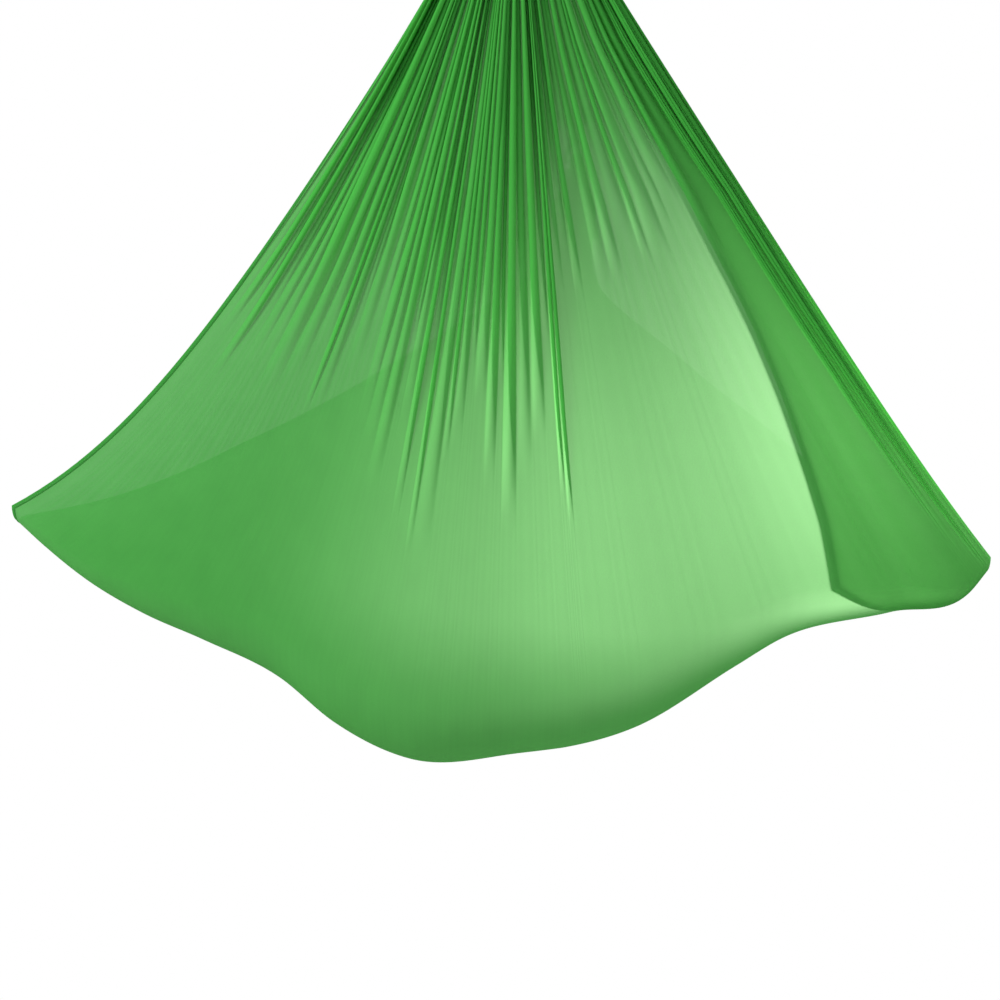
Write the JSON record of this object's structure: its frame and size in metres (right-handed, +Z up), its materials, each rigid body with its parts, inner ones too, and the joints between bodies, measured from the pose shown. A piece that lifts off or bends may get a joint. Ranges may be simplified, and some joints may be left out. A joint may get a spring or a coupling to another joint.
{
  "type": "aerial hammock",
  "caption": "Aerial hammock: a wide green sheet gathered at both ends, knotted on carabiners under ceiling swing hangers and hanging in a trough between two fanned wings.",
  "frame": {"origin": "on the ceiling, midway between the two swing hangers", "axes": "+Z up, +Y from the front hanger to the back hanger, +X to the right of the picture, along the sheet's spread"},
  "size_m": [1.9059, 1.2866, 1.8527],
  "materials": {
    "bracket_steel": "brushed",
    "carabiner_steel": "polished",
    "gate_steel": "satin",
    "zinc_steel": "zinc plated",
    "bush_nylon": "moulded",
    "sheet_tricot": "two-way stretch tricot, sheer"
  },
  "bodies": {
    "ceiling_fittings": {"front_bracket": "bracket_steel", "front_axle_bolt": "zinc_steel", "front_axle_nut": "zinc_steel", "front_head_washer": "zinc_steel", "front_nut_washer": "zinc_steel", "back_bracket": "bracket_steel", "back_axle_bolt": "zinc_steel", "back_axle_nut": "zinc_steel", "back_head_washer": "zinc_steel", "back_nut_washer": "zinc_steel"},
    "sling": {"front_axle_bush": "bush_nylon", "front_hanger_eye": "bracket_steel", "front_carabiner_frame": "carabiner_steel", "front_loop": "sheet_tricot", "front_knot": "sheet_tricot", "front_tail": "sheet_tricot", "back_axle_bush": "bush_nylon", "back_hanger_eye": "bracket_steel", "back_carabiner_frame": "carabiner_steel", "back_loop": "sheet_tricot", "back_knot": "sheet_tricot", "back_tail": "sheet_tricot", "front_wing": "sheet_tricot", "back_wing": "sheet_tricot", "cradle": "sheet_tricot", "turned_back_edge": "sheet_tricot"},
    "front_gate": {"front_gate": "gate_steel", "front_hinge_pin": "zinc_steel", "front_nose_pin": "zinc_steel", "front_gate_spring": "zinc_steel"},
    "front_lock_sleeve": {"front_lock_sleeve": "gate_steel"},
    "front_gate_plunger": {"front_gate_plunger": "zinc_steel"},
    "back_gate": {"back_gate": "gate_steel", "back_hinge_pin": "zinc_steel", "back_nose_pin": "zinc_steel", "back_gate_spring": "zinc_steel"},
    "back_lock_sleeve": {"back_lock_sleeve": "gate_steel"},
    "back_gate_plunger": {"back_gate_plunger": "zinc_steel"}
  },
  "joints": [
    {"name": "swing", "type": "hinge", "parent": "ceiling_fittings", "child": "sling", "pos_m": [0, 0, -0.034], "axis": [0, 1, 0], "range_deg": [-45, 45]},
    {"name": "front_gate_hinge", "type": "hinge", "parent": "sling", "child": "front_gate", "pos_m": [0.01916, -0.60117, -0.0979], "axis": [0, 0.9537, 0.3007], "range_deg": [0, 28], "stiffness_Nm_per_rad": 0.1, "springref_deg": -34.38},
    {"name": "front_sleeve_slide", "type": "slide", "parent": "front_gate", "child": "front_lock_sleeve", "axis": [0.2414, 0.2918, -0.9255], "range_m": [0, 0.0128]},
    {"name": "front_plunger_slide", "type": "slide", "parent": "front_gate", "child": "front_gate_plunger", "axis": [0.2414, 0.2918, -0.9255], "range_m": [0, 0.0012], "deforming": ["front_gate_spring"]},
    {"name": "back_gate_hinge", "type": "hinge", "parent": "sling", "child": "back_gate", "pos_m": [-0.01916, 0.60117, -0.0979], "axis": [0, -0.9537, 0.3007], "range_deg": [0, 28], "stiffness_Nm_per_rad": 0.1, "springref_deg": -34.38},
    {"name": "back_sleeve_slide", "type": "slide", "parent": "back_gate", "child": "back_lock_sleeve", "axis": [-0.2414, -0.2918, -0.9255], "range_m": [0, 0.0128]},
    {"name": "back_plunger_slide", "type": "slide", "parent": "back_gate", "child": "back_gate_plunger", "axis": [-0.2414, -0.2918, -0.9255], "range_m": [0, 0.0012], "deforming": ["back_gate_spring"]}
  ],
  "couplings": [
    {"joint": "front_plunger_slide", "follows": "front_gate_hinge", "m_per_rad": 0.0024555},
    {"joint": "back_plunger_slide", "follows": "back_gate_hinge", "m_per_rad": 0.0024555}
  ]
}
